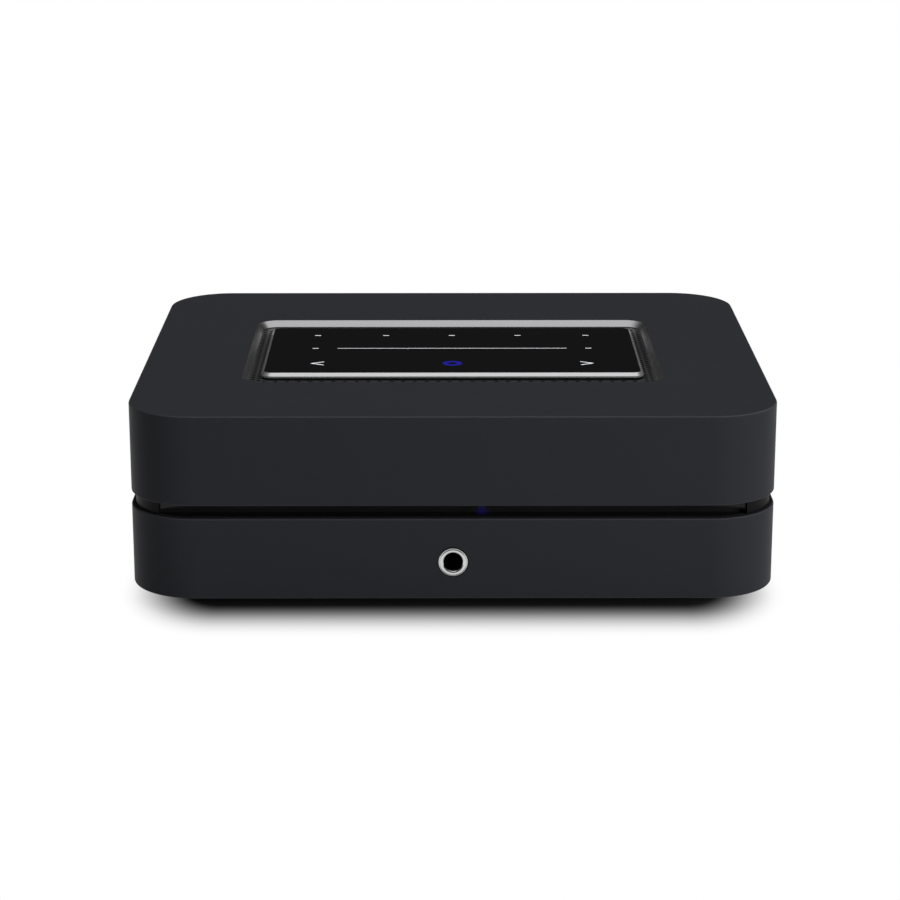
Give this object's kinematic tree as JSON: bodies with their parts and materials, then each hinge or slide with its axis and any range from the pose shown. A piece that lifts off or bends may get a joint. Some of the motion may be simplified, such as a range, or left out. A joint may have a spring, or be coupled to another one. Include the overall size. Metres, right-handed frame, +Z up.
{
  "type": "network music streamer",
  "caption": "Low rounded-square network music streamer and amplifier with a slot between its shells, a touch panel in a vented moat, a headphone socket and a recessed rear panel.",
  "frame": {"origin": "on the floor, under the middle of the case", "axes": "+X to the right seen from the front, +Y to the back, +Z up; the front faces -Y"},
  "size_m": [0.22, 0.19, 0.07],
  "materials": {
    "shell": "soft matt paint",
    "gloss_black": "gloss",
    "black_plastic": "fine texture",
    "trim_metal": "polished",
    "grille": "satin",
    "glass": "black back-painted",
    "marks": "printed",
    "blue_light": "lit",
    "clear_guide": "clear",
    "steel": "zinc plated",
    "chrome": "polished",
    "gold": "gold plated",
    "circuit_board": "solder mask",
    "aluminium": "satin",
    "copper": "enamelled wire",
    "ribbon": "film",
    "lead": "insulated",
    "rubber": "soft",
    "red_cap": "moulded",
    "black_cap": "moulded",
    "rear_paint": "satin",
    "port_plastic": "moulded"
  },
  "bodies": {
    "root": {"bottom_shell": "shell", "top_shell": "shell", "slot_band": "black_plastic", "front_window": "gloss_black", "status_light_guide": "clear_guide", "indicator_board": "circuit_board", "indicator_lights": "black_plastic", "recess_trim": "trim_metal", "vent_grille": "grille", "panel_tray": "black_plastic", "panel_frame": "trim_metal", "touch_glass": "glass", "touch_marks": "marks", "play_ring": "blue_light", "light_mask": "black_plastic", "touch_board": "circuit_board", "headphone_ring": "chrome", "headphone_socket": "port_plastic", "headphone_contacts": "gold", "headphone_board": "circuit_board", "rear_surround": "black_plastic", "rear_panel": "rear_paint", "mains_inlet": "port_plastic", "mains_pins": "steel", "network_socket": "port_plastic", "network_contacts": "gold", "usb_shell": "steel", "hdmi_shell": "steel", "socket_tongues": "port_plastic", "minijack_sockets": "port_plastic", "sub_out_core": "port_plastic", "sub_out_shell": "gold", "post_housing": "port_plastic", "post_nuts": "steel", "post_studs": "gold", "main_board": "circuit_board", "power_board": "circuit_board", "amplifier_board": "circuit_board", "shield_can": "steel", "board_chips": "black_plastic", "power_transformer": "copper", "capacitors": "black_cap", "coils": "copper", "heat_sink": "aluminium", "chassis_plate": "aluminium", "ribbon_cables": "ribbon", "antennas": "circuit_board", "antenna_leads": "lead", "power_leads": "lead", "rubber_feet": "rubber", "case_screws": "steel", "small_screws": "steel"},
    "washer_1": {"clamp_washer_1": "gold"},
    "cap_1": {"post_cap_1": "red_cap"},
    "washer_2": {"clamp_washer_2": "gold"},
    "cap_2": {"post_cap_2": "black_cap"},
    "washer_3": {"clamp_washer_3": "gold"},
    "cap_3": {"post_cap_3": "red_cap"},
    "washer_4": {"clamp_washer_4": "gold"},
    "cap_4": {"post_cap_4": "black_cap"}
  },
  "joints": [
    {"name": "washer_1_travel", "type": "slide", "parent": "root", "child": "washer_1", "axis": [0, 1, 0], "range_m": [0, 0.00562]},
    {"name": "cap_1_turn", "type": "hinge", "parent": "washer_1", "child": "cap_1", "pos_m": [-0.02857, 0.09, 0.0451], "axis": [0, 1, 0], "range_deg": [0, 2700]},
    {"name": "washer_2_travel", "type": "slide", "parent": "root", "child": "washer_2", "axis": [0, 1, 0], "range_m": [0, 0.00562]},
    {"name": "cap_2_turn", "type": "hinge", "parent": "washer_2", "child": "cap_2", "pos_m": [-0.00953, 0.09, 0.0451], "axis": [0, 1, 0], "range_deg": [0, 2700]},
    {"name": "washer_3_travel", "type": "slide", "parent": "root", "child": "washer_3", "axis": [0, 1, 0], "range_m": [0, 0.00562]},
    {"name": "cap_3_turn", "type": "hinge", "parent": "washer_3", "child": "cap_3", "pos_m": [0.00953, 0.09, 0.0451], "axis": [0, 1, 0], "range_deg": [0, 2700]},
    {"name": "washer_4_travel", "type": "slide", "parent": "root", "child": "washer_4", "axis": [0, 1, 0], "range_m": [0, 0.00562]},
    {"name": "cap_4_turn", "type": "hinge", "parent": "washer_4", "child": "cap_4", "pos_m": [0.02857, 0.09, 0.0451], "axis": [0, 1, 0], "range_deg": [0, 2700]}
  ],
  "couplings": [
    {"joint": "cap_1_turn", "follows": "washer_1_travel", "rad_per_m": 8377.6},
    {"joint": "cap_2_turn", "follows": "washer_2_travel", "rad_per_m": 8377.6},
    {"joint": "cap_3_turn", "follows": "washer_3_travel", "rad_per_m": 8377.6},
    {"joint": "cap_4_turn", "follows": "washer_4_travel", "rad_per_m": 8377.6}
  ]
}
